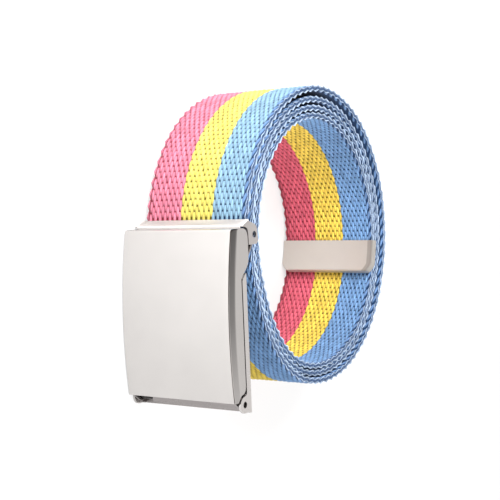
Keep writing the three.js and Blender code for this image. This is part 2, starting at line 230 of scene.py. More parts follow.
def buckle_piece(bm, name, metal, body, node, edge=None):
    """Turns a shape drawn in the buckle's side view (mm) into a piece in its place on the coil (metres)."""
    turn = Matrix.Translation((*BUCKLE_PLACE, 0)) @ Matrix.Rotation(BUCKLE_TURN, 4, "Z")
    bmesh.ops.transform(bm, matrix=Matrix.Scale(MM, 4) @ turn, verts=bm.verts)
    piece = new_piece(name, finish_mesh(bm, name), metal, body, [node])
    if edge:
        soften_edges(piece, edge)
    return piece


def only(kind, geom):
    return [g for g in geom if isinstance(g, kind)]


def bevel(bm, geom, offset, segments, affect, clamp_overlap=False):
    bmesh.ops.bevel(
        bm, geom=geom, offset=offset, segments=segments, profile=0.5, affect=affect, material=-1,
        clamp_overlap=clamp_overlap,
    )


def draw_along(bm, length, steps):
    """Draws the section in bm out along the flat strap."""
    bmesh.ops.spin(
        bm, geom=bm.faces[:] + bm.edges[:] + bm.verts[:], cent=(0, 0, 0), axis=(1, 0, 0),
        dvec=(length / steps, 0, 0), angle=0, steps=steps, use_duplicate=False, use_merge=False,
    )
    bmesh.ops.recalc_face_normals(bm, faces=bm.faces)


def plate(bm, outline, low, high, holes=()):
    """A plate from low to high across the buckle.

    The outline's corners are (u, v) or (u, v, rounding), and the holes (u, v, radius).
    """
    corners = [bm.verts.new((c[0], c[1], low)) for c in outline]
    bm.faces.new(corners)
    before = set(bm.verts) - set(corners)
    for vert, c in zip(corners, outline):
        if len(c) == 3:
            bevel(bm, [vert], c[2], 5, "VERTICES", clamp_overlap=True)
    faces = [next(f for f in bm.faces if not before.intersection(f.verts))]
    if holes:
        edges = list(faces[0].edges)
        bmesh.ops.delete(bm, geom=faces, context="FACES_ONLY")
        for u, v, radius in holes:
            ring = bmesh.ops.create_circle(
                bm, segments=28, radius=radius, matrix=Matrix.Translation((u, v, low))
            )
            edges += list({e for vert in ring["verts"] for e in vert.link_edges})
        filled = bmesh.ops.triangle_fill(bm, use_beauty=True, use_dissolve=False, edges=edges)
        faces = only(bmesh.types.BMFace, filled["geom"])
    grown = bmesh.ops.extrude_face_region(bm, geom=faces, use_keep_orig=True)
    bmesh.ops.translate(bm, vec=(0, 0, high - low), verts=only(bmesh.types.BMVert, grown["geom"]))
    shell = [f for f in bm.faces if not before.intersection(f.verts)]
    bmesh.ops.recalc_face_normals(bm, faces=shell)


def side_plates(bm, outline, inset, holes):
    """The same plate at both sides of the buckle, inset from its edges."""
    plate(bm, outline, inset, inset + SIDE_SHEET, holes)
    plate(bm, outline, BUCKLE_WIDTH - inset - SIDE_SHEET, BUCKLE_WIDTH - inset, holes)


def sheet_line(line, thickness, bend=0.6):
    """Outline of a bent sheet whose middle follows a line, rounded at its bends."""
    line = [Vector(p) for p in line]
    sides = ([], [])
    for i, p in enumerate(line):
        near = line[max(i - 1, 0) : i + 2]
        ways = [(b - a).normalized() for a, b in zip(near, near[1:])]
        normal = sum((Vector((-w.y, w.x)) for w in ways), Vector((0, 0))).normalized()
        reach = thickness / 2 / normal.dot(Vector((-ways[0].y, ways[0].x)))
        inner = 0 < i < len(line) - 1
        for side, sign in zip(sides, (1, -1)):
            q = p + normal * reach * sign
            side.append((q.x, q.y, bend) if inner else (q.x, q.y))
    return sides[0] + sides[1][::-1]


class Graph:
    """A node tree, emptied, with short ways to fill it: an input takes a value or another's output."""

    def __init__(self, tree):
        self.nodes, self.links = tree.nodes, tree.links
        self.nodes.clear()

    def put(self, node, values):
        for title, value in values.items():
            if isinstance(value, bpy.types.NodeSocket):
                self.links.new(value, node.inputs[title])
            else:
                node.inputs[title].default_value = value

    def add(self, kind, values=None):
        node = self.nodes.new("ShaderNode" + kind)
        self.put(node, values or {})
        return node

    def math(self, operation, *values):
        node = self.add("Math")
        node.operation = operation
        self.put(node, dict(enumerate(values)))
        return node.outputs[0]

    def map_range(self, value, to_low, to_high, low=0.0, high=1.0):
        values = {"Value": value, "From Min": low, "From Max": high, "To Min": to_low, "To Max": to_high}
        return self.add("MapRange", values).outputs["Result"]

    def noise(self, vector, scale, detail=3.0, rough=0.5):
        values = {"Vector": vector, "Scale": scale, "Detail": detail, "Roughness": rough}
        return self.add("TexNoise", values).outputs["Fac"]

    def attribute(self, title):
        node = self.add("Attribute")
        node.attribute_name = title
        return node.outputs["Fac"]

    def mix(self, kind, factor, first, second):
        node = self.add("Mix")
        node.data_type = "RGBA"
        node.blend_type = kind
        self.put(node, {"Factor": factor, "A": first, "B": second})
        return node.outputs["Result"]

    def bump(self, shader, height, strength, distance):
        node = self.add("Bump", {"Height": height, "Strength": strength, "Distance": distance})
        self.links.new(node.outputs["Normal"], shader.inputs["Normal"])


def new_material(name):
    material = bpy.data.materials.new(name)
    material.use_nodes = True
    graph = Graph(material.node_tree)
    shader = graph.add("BsdfPrincipled")
    graph.add("OutputMaterial", {"Surface": shader.outputs["BSDF"]})
    return material, graph, shader


def new_group(name, inputs, outputs):
    """A shader node group, its graph and what it is given. Sockets are (name, kind, default)."""
    group = bpy.data.node_groups.new(name, "ShaderNodeTree")
    for way, sockets in (("INPUT", inputs), ("OUTPUT", outputs)):
        for title, kind, default in sockets:
            socket = group.interface.new_socket(title, in_out=way, socket_type="NodeSocket" + kind)
            if default is not None:
                socket.default_value = default
    graph = Graph(group)
    return group, graph, graph.nodes.new("NodeGroupInput").outputs


def metal_surface_group():
    """Polish lines, handling smudges and tiny pits for plated metal."""
    name = "Plated surface"
    if name in bpy.data.node_groups:
        return bpy.data.node_groups[name]
    group, graph, given = new_group(
        name,
        [("Vector", "Vector", None), ("Roughness", "Float", 0.2), ("Smudge", "Float", 0.08),
         ("Polish Lines", "Float", 0.3)],
        [("Tone", "Float", None), ("Roughness", "Float", None), ("Height", "Float", None)],
    )
    stretch = graph.add("Mapping", {"Scale": (60, 900, 2600), "Vector": given["Vector"]})
    lines = graph.noise(stretch.outputs["Vector"], 1.0, 2.0)
    smudges = graph.noise(given["Vector"], 70.0, 4.0, 0.62)
    pits = graph.noise(given["Vector"], 1500.0, 2.0)
    patch = graph.map_range(smudges, -1.0, 1.0, 0.3, 0.7)
    rough = graph.math("MULTIPLY_ADD", patch, given["Smudge"], given["Roughness"])
    fine = graph.math("MULTIPLY", lines, given["Polish Lines"])
    both = graph.math("MULTIPLY_ADD", fine, 0.1, rough)
    graph.put(graph.nodes.new("NodeGroupOutput"), {
        "Tone": graph.map_range(smudges, 0.93, 1.0, 0.25, 0.75),
        "Roughness": graph.math("MAXIMUM", both, 0.04),
        "Height": graph.math("MULTIPLY_ADD", pits, 0.25, fine),
    })
    return group


def metal_material(name, color, roughness, smudge, polish, metallic=1.0, shaded=False):
    """Bright plated metal. Metallic below 1 gives a satin finish, and shaded reads the shade attribute."""
    material, graph, shader = new_material(name)
    place = graph.add("TexCoord").outputs["Object"]
    turn = graph.add("Mapping", {"Rotation": (0, 0, -BUCKLE_TURN), "Vector": place})
    surface = graph.add("Group")
    surface.node_tree = metal_surface_group()
    graph.put(surface, {
        "Vector": turn.outputs["Vector"], "Roughness": roughness, "Smudge": smudge, "Polish Lines": polish,
    })
    level = surface.outputs["Tone"]
    if shaded:
        level = graph.math("MULTIPLY", level, graph.attribute("shade"))
    graph.bump(shader, surface.outputs["Height"], strength=0.25, distance=0.00002)
    graph.put(shader, {
        "Base Color": graph.mix("MULTIPLY", 1.0, (*color, 1), level),
        "Roughness": surface.outputs["Roughness"],
        "Metallic": metallic,
    })
    return material


def fibre_group():
    """Twisted fibres along a yarn, from the thread UVs: a tone and a height."""
    name = "Yarn fibres"
    if name in bpy.data.node_groups:
        return bpy.data.node_groups[name]
    group, graph, given = new_group(
        name,
        [("Vector", "Vector", None), ("Fibres", "Float", 34.0), ("Lean", "Float", 0.5)],
        [("Tone", "Float", None), ("Height", "Float", None)],
    )
    split = graph.add("SeparateXYZ", {"Vector": given["Vector"]})
    leaning = graph.math("MULTIPLY_ADD", split.outputs["X"], given["Lean"], split.outputs["Y"])
    fuzz = graph.noise(given["Vector"], 60.0)
    phase = graph.math("MULTIPLY_ADD", fuzz, 0.06, leaning)
    strands = graph.math("MULTIPLY", phase, given["Fibres"])
    wave = graph.math("SINE", graph.math("MULTIPLY", strands, math.tau))
    height = graph.math("MULTIPLY_ADD", wave, 0.5, fuzz)
    tone = graph.map_range(height, 0.88, 1.06, -0.1, 1.1)
    graph.put(graph.nodes.new("NodeGroupOutput"), {"Tone": tone, "Height": height})
    return group


def webbing_material(name, settings, colors, depth=1.0, shade=(1, 1, 1), start=None):
    """Cotton yarn in three stripes. The stripe attribute runs from 0 at the rose edge to 1 at the blue one.

    Depth above 1 gives deeper colours and below 1 paler ones, and shade multiplies them; the edges take
    painted shade from these and the corner cords a painted highlight. Start gives the colours of the
    painted shadow at the clamp's end.
    """
    material, graph, shader = new_material(name)

    def stripe_ramp(colors):
        node = graph.add("ValToRGB", {"Fac": graph.attribute("stripe")})
        ramp = node.color_ramp
        ramp.interpolation = "CONSTANT"
        ramp.elements.remove(ramp.elements[1])
        ramp.elements[0].position = 0.0
        ramp.elements.new(settings.rose_end)
        ramp.elements.new(settings.yellow_end)
        for step, color in zip(ramp.elements, colors):
            step.color = [c**depth * s for c, s in zip(color, shade)] + [1]
        return node.outputs["Color"]

    stripes = stripe_ramp(colors)
    # Painted shadow near the clamp, mixed in by the start attribute
    if start:
        stripes = graph.mix("MIX", graph.attribute("start"), stripes, stripe_ramp(start))

    thread = graph.add("UVMap")
    thread.uv_map = "thread"
    fibres = graph.add("Group")
    fibres.node_tree = fibre_group()
    graph.put(fibres, {"Vector": thread.outputs["UV"]})

    patches = graph.noise(graph.add("TexCoord").outputs["Object"], 45.0)
    wear = graph.map_range(patches, 0.95, 1.04, 0.3, 0.7)
    # Each yarn's random tone, and the painted shade of the edge wraps
    lot = graph.math("MULTIPLY_ADD", graph.attribute("yarn"), 0.29, 0.80)
    # Painted shade: each yarn darker towards its low sides, by the lift attribute
    painted_hollow_shade = graph.map_range(graph.attribute("lift"), 0.42, 1.0, 0.0, 0.8)
    tone = graph.math("MULTIPLY", wear, lot)
    for share in (painted_hollow_shade, fibres.outputs["Tone"]):
        tone = graph.math("MULTIPLY", tone, share)
    height = fibres.outputs["Height"]
    graph.bump(shader, height, strength=0.5, distance=0.00006)
    graph.put(shader, {
        "Base Color": graph.mix("MULTIPLY", 1.0, stripes, tone),
        "Roughness": graph.map_range(height, 0.95, 0.78),
        "Sheen Weight": 0.12, "Sheen Roughness": 0.5, "Specular IOR Level": 0.25,
    })
    return material


# A column of yarns along the strap: its place in the section (out, up), which way it faces, half a yarn's
# width, height and length (mm), its slant, where in a repeat it starts and how far it weaves out and in
Column = namedtuple("Column", "out up facing width tall length lean shift wave")


def section_ring(settings):
    """Columns round the whole section, closer together where the yarn is finer."""
    inset, count = settings.yarn_height / MM, settings.columns
    half = STRAP_THICKNESS / 2 - inset
    low, high = inset, STRAP_WIDTH - inset
    corner = 0.4
    middle = (half - corner, low + corner, high - corner)
    marks = [((half, STRAP_WIDTH / 2), 0.0)]
    for out, up, first in (
        (middle[0], middle[2], 0.0), (-middle[0], middle[2], 90.0),
        (-middle[0], middle[1], 180.0), (middle[0], middle[1], 270.0),
    ):
        for step in range(7):
            facing = math.radians(first + 15 * step)
            marks.append(((out + corner * math.cos(facing), up + corner * math.sin(facing)), facing))
    marks.append(((half, STRAP_WIDTH / 2), math.tau))
    places = np.array([m[0] for m in marks])
    run = np.concatenate([[0], np.cumsum(np.linalg.norm(np.diff(places, axis=0), axis=1))])
    fine = np.linspace(0, run[-1], 4000)
    up = np.interp(fine, run, places[:, 1]) / STRAP_WIDTH
    pitch = np.where(up < settings.rose_end, 0.97, np.where(up < settings.yellow_end, 0.93, 0.85))
    taken = np.concatenate([[0], np.cumsum(np.diff(fine) / pitch[1:])])
    spots = np.interp((np.arange(count) + 0.5) * taken[-1] / count, taken, fine)
    out, up = (np.interp(spots, run, places[:, i]) for i in (0, 1))
    facing = np.interp(spots, run, [m[1] for m in marks])
    width = np.interp(spots, fine, pitch) * taken[-1] / count * settings.fullness
    length = settings.repeat / MM / 2 * settings.overlap
    ring = []
    for k in range(count):
        rose = up[k] / STRAP_WIDTH < settings.rose_end
        ring.append(
            Column(
                out[k], up[k], facing[k], width[k] * (0.94 if rose else 1.0), inset, length,
                settings.lean * (2.0 if rose else 1.0), (k % 2) / 2, 0.0,
            )
        )
    return ring


def selvedge(settings, upper):
    """Columns of one edge: a wavy cord at each corner and slanted wraps between them."""
    cord = Column(
        out=0.6, up=STRAP_WIDTH - 0.4, facing=math.radians(52), width=0.15, tall=0.42,
        length=settings.repeat / MM / 2 * 1.12, lean=0.0, shift=0.25, wave=0.36,
    )
    other_cord = cord._replace(out=-cord.out, facing=math.radians(128), shift=-cord.shift)
    wrap = Column(
        out=0.0, up=STRAP_WIDTH - 0.58, facing=math.pi / 2, width=0.34, tall=0.34, length=0.85, lean=0.9,
        shift=0.0, wave=0.0,
    )
    columns = [cord, other_cord, wrap, wrap._replace(shift=0.5)]
    if not upper:
        columns = [c._replace(up=STRAP_WIDTH - c.up, facing=-c.facing) for c in columns]
    return columns


def weave(name, columns, stretch, settings, seed):
    """Woven yarn over part of the strap: a repeat of floats on each column, repeated along and wound on."""
    first, last = length_at(stretch[0]), length_at(stretch[1])
    repeat = settings.repeat / MM
    bm = bmesh.new()
    own_column = bm.verts.layers.int.new("column")
    for k, c in enumerate(columns):
        place = (
            Matrix.Translation((first + repeat * (0.5 + c.shift), c.out, c.up))
            @ Matrix.Rotation(c.facing, 4, "X")
            @ Matrix.Rotation(c.lean, 4, "Y")
            @ Matrix.Diagonal((c.length, c.tall, c.width, 1))
            @ Matrix.Rotation(math.pi / 2, 4, "Y")
        )
        made = bmesh.ops.create_uvsphere(bm, u_segments=6, v_segments=5, radius=1.0, matrix=place)
        for vert in made["verts"]:
            vert[own_column] = k
    per_row = len(bm.verts)
    bmesh.ops.recalc_face_normals(bm, faces=bm.faces)
    row = bpy.data.objects.new(name + " row", finish_mesh(bm, name + " row"))
    bpy.context.scene.collection.objects.link(row)
    array = row.modifiers.new("repeats", "ARRAY")
    array.use_relative_offset = False
    array.use_constant_offset = True
    array.constant_offset_displace = (repeat, 0, 0)
    array.count = int((last - first - repeat) // repeat)
    shown = row.evaluated_get(bpy.context.evaluated_depsgraph_get())
    mesh = bpy.data.meshes.new_from_object(shown)
    bpy.data.objects.remove(row)

    flat = mesh_points(mesh)
    column = np.empty(len(flat), np.int32)
    mesh.attributes["column"].data.foreach_get("value", column)
    mesh.attributes.remove(mesh.attributes["column"])
    yarn = np.arange(len(flat)) // per_row * len(columns) + column
    count = yarn.max() + 1
    rng = np.random.default_rng(seed)
    out, up, facing, tall, wave, length = (
        np.array([getattr(c, name) for c in columns])[column]
        for name in ("out", "up", "facing", "tall", "wave", "length")
    )
    raised = (flat[:, 1] - out) * np.cos(facing) + (flat[:, 2] - up) * np.sin(facing)
    flat[:, 1] += wave * np.sin(flat[:, 0] * math.tau / repeat)
    uneven_along, uneven_out = 0.10, 0.03
    flat[:, 0] += rng.normal(0, uneven_along, count)[yarn]
    swell = rng.normal(0, uneven_out, count)[yarn]
    flat[:, 1] += np.cos(facing) * swell
    flat[:, 2] += np.sin(facing) * np.minimum(swell, 0.0)
    add_attribute(mesh, "stripe", up / STRAP_WIDTH)
    lot = rng.random(count)[yarn]
    # The short wraps of the edges, between the cords, are darker: painted shade, on top of each yarn's
    # random tone
    add_attribute(mesh, "yarn", np.where(length < repeat * 0.4, lot * 0.9 - 1.5, lot))
    # lift: height over the yarn's base, which the material turns into painted shade low down
    add_attribute(mesh, "lift", np.clip(raised / tall, 0, 1))
    angle = np.interp(flat[:, 0], LENGTHS, ANGLES)
    # start: where the painted shadow near the clamp lies
    add_attribute(mesh, "start", smooth((CLAMP_SHADOW_END - angle) / CLAMP_SHADOW_FADE))
    add_thread_uv(mesh, flat)
    set_points(mesh, wind(flat))
    mesh.flip_normals()
    return mesh


def strap_core(settings):
    """The strap's body under its yarns."""
    inset = settings.yarn_height / MM * 0.8
    half = STRAP_THICKNESS / 2 - inset
    bm = bmesh.new()
    corners = [(-half, inset), (half, inset), (half, STRAP_WIDTH - inset), (-half, STRAP_WIDTH - inset)]
    verts = [bm.verts.new((0.4, out, up)) for out, up in corners]
    bm.faces.new(verts)
    bevel(bm, verts, half * 0.7, 2, "VERTICES")
    length = length_at(STRAP_END) - 0.8
    draw_along(bm, length, int(length / 3))
    mesh = finish_mesh(bm, "strap_core")
    flat = mesh_points(mesh)
    add_attribute(mesh, "stripe", flat[:, 2] / STRAP_WIDTH)
    add_attribute(mesh, "yarn", np.full(len(flat), 0.5))
    # A low lift: painted shade over the whole body
    add_attribute(mesh, "lift", np.full(len(flat), 0.2))
    add_thread_uv(mesh, flat)
    set_points(mesh, wind(flat))
    mesh.flip_normals()
    return mesh


class BELT_OT_strap(bpy.types.Operator):
    """Weave the striped strap and wind it onto its coil"""

    bl_idname = "belt.strap"
    bl_label = "Woven Strap"

    def execute(self, context):
        settings = context.scene.belt_strap
        front = (settings.rose, settings.yellow, settings.blue)
        # Back colours: the stripes deepened, painted shade inside the coil
        back = (settings.rose_back_shaded, settings.yellow_back_shaded, settings.blue_back_shaded)
        # The outer face and the rose edge carry the painted shadow near the clamp
        outer = webbing_material("Striped cotton yarn", settings, front, start=CLAMP_SHADOW)
        inner = webbing_material("Striped yarn, back, painted shade", settings, back)
        # Edges: back colours darkened further and tinted lavender, painted shade between the turns
        edges = webbing_material("Striped yarn, edges, painted shade", settings, back, 1.0, (0.80, 0.76, 0.80))
        # Cords: front colours made paler, a painted highlight on the corner cords' ridges
        cords = webbing_material("Striped yarn, cords, painted highlight", settings, front, 0.64, (0.95, 0.88, 0.98))
        ground = webbing_material("Yarn in shade", settings, SHADED)
        ring = section_ring(settings)
        faces = [c for c in ring if abs(math.cos(c.facing)) > 0.98]
        rim = 1.7
        middle = [c for c in faces if rim < c.up < STRAP_WIDTH - rim]
        lower, upper = selvedge(settings, upper=False), selvedge(settings, upper=True)
        low = [c for c in faces if c.up <= rim] + lower[2:]
        high = [c._replace(lean=0.3) for c in faces if c.up >= STRAP_WIDTH - rim] + upper[2:]
        parts = (
            ("strap_weave_outer", [c for c in middle if math.cos(c.facing) > 0], OUTER_FACE, outer, 3),
            ("strap_weave_inner", [c for c in middle if math.cos(c.facing) < 0], INNER_FACE, inner, 5),
            ("strap_weave_rose_edge", low, WHOLE_EDGE, outer, 7),
            ("strap_weave_blue_edge", high, WHOLE_EDGE, edges, 11),
            ("strap_cords_rose_edge", lower[:2], WHOLE_EDGE, outer, 13),
            ("strap_cords_blue_edge", upper[:2], WHOLE_EDGE, cords, 17),
        )
        new_piece("strap_core", strap_core(settings), ground, "belt", ["strap"])
        for name, columns, stretch, yarns, seed in parts:
            mesh = weave(name, columns, stretch, settings, seed)
            new_piece(name, mesh, yarns, "belt", ["strap"])
        return {"FINISHED"}


class BELT_OT_tip(bpy.types.Operator):
    """Fold the metal tip over the strap's inner end"""

    bl_idname = "belt.tip"
    bl_label = "Metal Tip"

    def execute(self, context):
        settings = context.scene.belt_metal
        half, low, high = 1.62, -0.6, STRAP_WIDTH + 0.6
        front, sheet, pocket = -0.85, 0.55, 6
        corner_length, corner_depth = 3.2, 1.9
        fold_low, fold_high, slope = 36.5, 37.3, 0.3
        fold_shade, end_shade = 0.66, 0.6
        bm = bmesh.new()
        corners = [(-half, low), (half, low), (half, high), (-half, high)]
        corners += [(-half, up) for up in (fold_high + slope, fold_high, fold_low, fold_low - slope)]
        verts = [bm.verts.new((front, out, up)) for out, up in corners]
        bm.faces.new(verts)
        bevel(bm, verts[:4], sheet, 3, "VERTICES")
        draw_along(bm, TIP_LENGTH, 24)
        bm.normal_update()
        caps = (f for f in bm.faces if abs(f.normal.x) > 0.9)
        ends = sorted(caps, key=lambda f: f.calc_center_median().x)
        back = ends[-1]
        bmesh.ops.inset_region(bm, faces=[back], thickness=sheet, use_even_offset=True)
        pushed = bmesh.ops.extrude_face_region(bm, geom=[back])
        bmesh.ops.translate(bm, vec=(-pocket, 0, 0), verts=only(bmesh.types.BMVert, pushed["geom"]))
        bmesh.ops.delete(bm, geom=[back], context="FACES")
        bevel(bm, list(ends[0].edges), 0.5, 3, "EDGES")
        mesh = finish_mesh(bm, "strap_tip_cap")
        flat = mesh_points(mesh)
        # Painted shade: a dark fold line on the inner side and a darker folded end
        folded = (flat[:, 2] > fold_low - 0.1) & (flat[:, 2] < fold_high + 0.1) & (flat[:, 1] < 0)
        end = flat[:, 2] > fold_high
        add_attribute(mesh, "shade", np.where(folded, fold_shade, np.where(end, end_shade, 1.0)))
        near = np.clip(1 - (flat[:, 0] - front) / corner_length, 0, 1)
        flat[:, 2] += corner_depth * near**1.4 * np.where(flat[:, 2] < STRAP_WIDTH / 2, 1, -1)
        set_points(mesh, wind(flat, squeeze=False))
        mesh.flip_normals()
        metal = metal_material(
            "Tip plating", settings.tip_color, settings.tip_roughness, 0.05, 0.5, metallic=0.5, shaded=True
        )
        piece = new_piece("tip_cap", mesh, metal, "belt", ["strap_tip"])
        soften_edges(piece, 0.1)
        return {"FINISHED"}


def cover_rise(u):
    """Height of the cover's face in front of the frame, u from the clamp to the hinge."""
    t = (u - CLAMP_EDGE) / (HINGE_EDGE - CLAMP_EDGE)
    return COVER_HEIGHT + COVER_SLOPE * t + COVER_BULGE * t * (1 - t)


# Free edge of the cover's skirts: u, v. A lobe beside the clamp, a straight run, a rounded hinge corner.
SKIRT_EDGE = (
    (-2.3, -1.8), (-2.22, -0.75), (-2.0, 0.1), (-1.5, 0.85), (-0.7, 1.4), (0.3, 1.65), (1.3, 1.7),
    (4.2, 1.7), (7.0, 1.7), (8.0, 1.55), (9.0, 1.05), (9.9, 0.3), (10.6, -0.4), (11.7, -1.6),
    (12.8, -2.8), (14.2, -2.8), (20.0, -2.8), (30.0, -2.8), (40.0, -2.8), (45.5, -2.8), (46.6, -2.95),
    (47.3, -3.4), (47.8, -4.2), (48.1, -5.4), (49.0, -6.3), (50.0, -7.2),
)


class BELT_OT_cover(bpy.types.Operator):
    """Press the buckle's flip-top cover, with its skirts, lugs and cam"""

    bl_idname = "belt.cover"
    bl_label = "Flip-Top Cover"

    def execute(self, context):
        settings = context.scene.belt_metal
        bend, deep_bend, end_bend = settings.cover_bend / MM, 2.2, 0.9
        end_low = -5.2
        turned = [CLAMP_EDGE + end_bend * (1 - math.cos(a)) for a in np.radians([12, 28, 44, 60, 76, 90])]
        rows = sorted({u for u, _ in SKIRT_EDGE} | set(turned) | {float(u) for u in np.linspace(0, 50, 27)})
        # Across the sheet: how far in from the side, share of the bend, share of the skirt
        arc = [(bend * (1 - math.cos(a)), 1 - math.sin(a)) for a in np.radians([0, 18, 36, 54, 72, 90])]
        side = [(0.0, 1.0, s) for s in (1.0, 0.85, 0.7, 0.58, 0.46, 0.35, 0.25, 0.16, 0.08)]
        side += [(inset, drop, 0.0) for inset, drop in arc]
        middle = [(float(z), 0.0, 0.0) for z in np.linspace(bend, BUCKLE_WIDTH / 2, 9)[1:]]
        half = side + middle
        across = [(z, drop, skirt) for z, drop, skirt in half]
        across += [(BUCKLE_WIDTH - z, drop, skirt) for z, drop, skirt in half[-2::-1]]
        bm = bmesh.new()
        bmesh.ops.create_grid(bm, x_segments=len(rows) - 1, y_segments=len(across) - 1, size=1.0)
        xs = sorted({round(v.co.x, 4) for v in bm.verts})
        ys = sorted({round(v.co.y, 4) for v in bm.verts})
        if (len(xs), len(ys)) != (len(rows), len(across)):
            raise RuntimeError(f"cover grid is {len(xs)} by {len(ys)}, not {len(rows)} by {len(across)}")
        shade = bm.verts.layers.float.new("shade")
        edge_u, edge_v = zip(*SKIRT_EDGE)
        end_wall = []
        for vert in bm.verts:
            u = rows[xs.index(round(vert.co.x, 4))]
            z, drop, skirt = across[ys.index(round(vert.co.y, 4))]
            face = -cover_rise(u)
            short = max(0.0, CLAMP_EDGE + end_bend - u)
            face += end_bend - math.sqrt(end_bend**2 - short**2)
            edge = float(np.interp(u, edge_u, edge_v))
            v = face + min(deep_bend, 0.7 * (edge - face)) * drop
            v += (edge - v) * skirt
            vert.co = (u, v, z)
            # Painted shade: a dark reflection in a band along the bend, fading towards the hinge, and the
            # skirts beyond it a little darker
            bend_shade = np.interp(v - face, (0.1, 0.4, 2.5, 3.3), (0, 1, 1, 0))
            bend_shade *= np.interp(u, (0, 25, 48), (1, 0.8, 0.35))
            vert[shade] = min(1 - settings.bend_shade * bend_shade, np.interp(v - face, (0.2, 0.5), (1, 0.87)))
            if u == rows[0] and v < end_low - 0.05:
                end_wall.append(vert)
        crease = [e for e in bm.edges if e.verts[0] in end_wall and e.verts[1] in end_wall]
        wall = bmesh.ops.extrude_edge_only(bm, edges=crease)
        for vert in only(bmesh.types.BMVert, wall["geom"]):
            vert.co.y = end_low
        bmesh.ops.recalc_face_normals(bm, faces=bm.faces)
        bm.normal_update()
        top = max(bm.faces, key=lambda f: f.calc_area() * abs(f.normal.y))
        if top.normal.y > 0:
            bmesh.ops.reverse_faces(bm, faces=bm.faces)
        metal = metal_material(
            "Cover plating", settings.color, settings.cover_roughness, 0.04, 0.25, shaded=True
        )
        shell = buckle_piece(bm, "cover_shell", metal, "cover", "buckle_cover")
        wall = shell.modifiers.new("sheet", "SOLIDIFY")
        wall.thickness = SIDE_SHEET * MM
        wall.offset = -1
        soften_edges(shell, 0.16, 3)

        bm = bmesh.new()
        bore = [(PIN_U, PIN_V, BORE_RADIUS)]
        inner, flat_u = -cover_rise(HINGE_EDGE - 2.5) + 0.4, PIN_U + 1.25
        lug = [
            (PIN_U + LUG_RADIUS, PIN_V), (PIN_U + 1.2, PIN_V + 1.2), (PIN_U, PIN_V + LUG_RADIUS),
            (PIN_U - 1.2, PIN_V + 1.2), (PIN_U - 4.6, PIN_V - 2.4, 0.8), (PIN_U - 4.6, inner),
            (HINGE_EDGE - 0.3, -cover_rise(HINGE_EDGE) + 0.4), (flat_u, PIN_V - 1.2),
        ]
        side_plates(bm, lug, INSIDE, bore)
        cam = [
            (min(PIN_U + LUG_RADIUS * math.cos(a), flat_u), PIN_V + LUG_RADIUS * math.sin(a))
            for a in np.radians(np.arange(0, 360, 15))
        ]
        cam = [c for i, c in enumerate(cam) if i == 0 or c != cam[i - 1]]
        plate(bm, cam, CAM_START, BUCKLE_WIDTH - INSIDE - 0.02, bore)
        # Dark plating on the cam: painted shade under the cover
        metal = metal_material("Cam plating, painted shade", settings.shaded_base_color, settings.frame_roughness, 0.08, 0.6)
        buckle_piece(bm, "cover_cam", metal, "cover", "buckle_cover", 0.1)
        return {"FINISHED"}


class BELT_OT_frame(bpy.types.Operator):
    """Form the buckle's frame: base plate, side walls with ears, ramp and hem"""

    bl_idname = "belt.frame"
    bl_label = "Buckle Frame"

    def execute(self, context):
        settings = context.scene.belt_metal
        back = -SHEET / 2
        bm = bmesh.new()
        base = sheet_line([(RAMP_START + 0.6, back), (FRAME_END - 0.1, back)], SHEET)
        plate(bm, base, SIDE_SHEET / 2, BUCKLE_WIDTH - SIDE_SHEET / 2)
        ramp = [(-0.6, HEM_V), (3.0, HEM_V), (RAMP_START, back), (RAMP_START + 2, back)]
        plate(bm, sheet_line(ramp, SHEET, 1.0), INSIDE, BUCKLE_WIDTH - INSIDE)
        # Dark plating on the base: painted shade under the cover
        metal = metal_material("Base plating, painted shade", settings.shaded_base_color, settings.frame_roughness, 0.08, 0.6)
        buckle_piece(bm, "frame_base", metal, "belt", "buckle_frame", 0.12)

        bm = bmesh.new()
        ear = [
            (PIN_U + EAR_RADIUS * math.cos(a), PIN_V + EAR_RADIUS * math.sin(a))
            for a in np.radians(np.arange(0, -181, -15))
        ]
        wall = [
            (RAMP_START + 0.3, 0), (FRAME_END, 0, 0.2), (FRAME_END, -SHEET),
            (PIN_U + EAR_RADIUS, -SHEET - 0.4), *ear, (PIN_U - 2.75, -2.9), (PIN_U - 3.2, -2.45),
            (PIN_U - 4.1, -2.3), (RAMP_START + 2.2, -2.3, 0.8),
        ]
        hole = [(PIN_U, PIN_V, BORE_RADIUS)]
        side_plates(bm, wall, 0, hole)
        low, high = HEM_V - 0.6, HEM_V + 0.6
        inset = INSIDE + 1.6
        hem = [(-1.2, low, 0.5), (2.2, low, 0.2), (2.2, high, 0.2), (-1.2, high, 0.5)]
        plate(bm, hem, inset, BUCKLE_WIDTH - inset)
        metal = metal_material("Frame plating", settings.frame_color, settings.frame_roughness, 0.08, 0.6)
        buckle_piece(bm, "frame_plate", metal, "belt", "buckle_frame", 0.14)
        return {"FINISHED"}


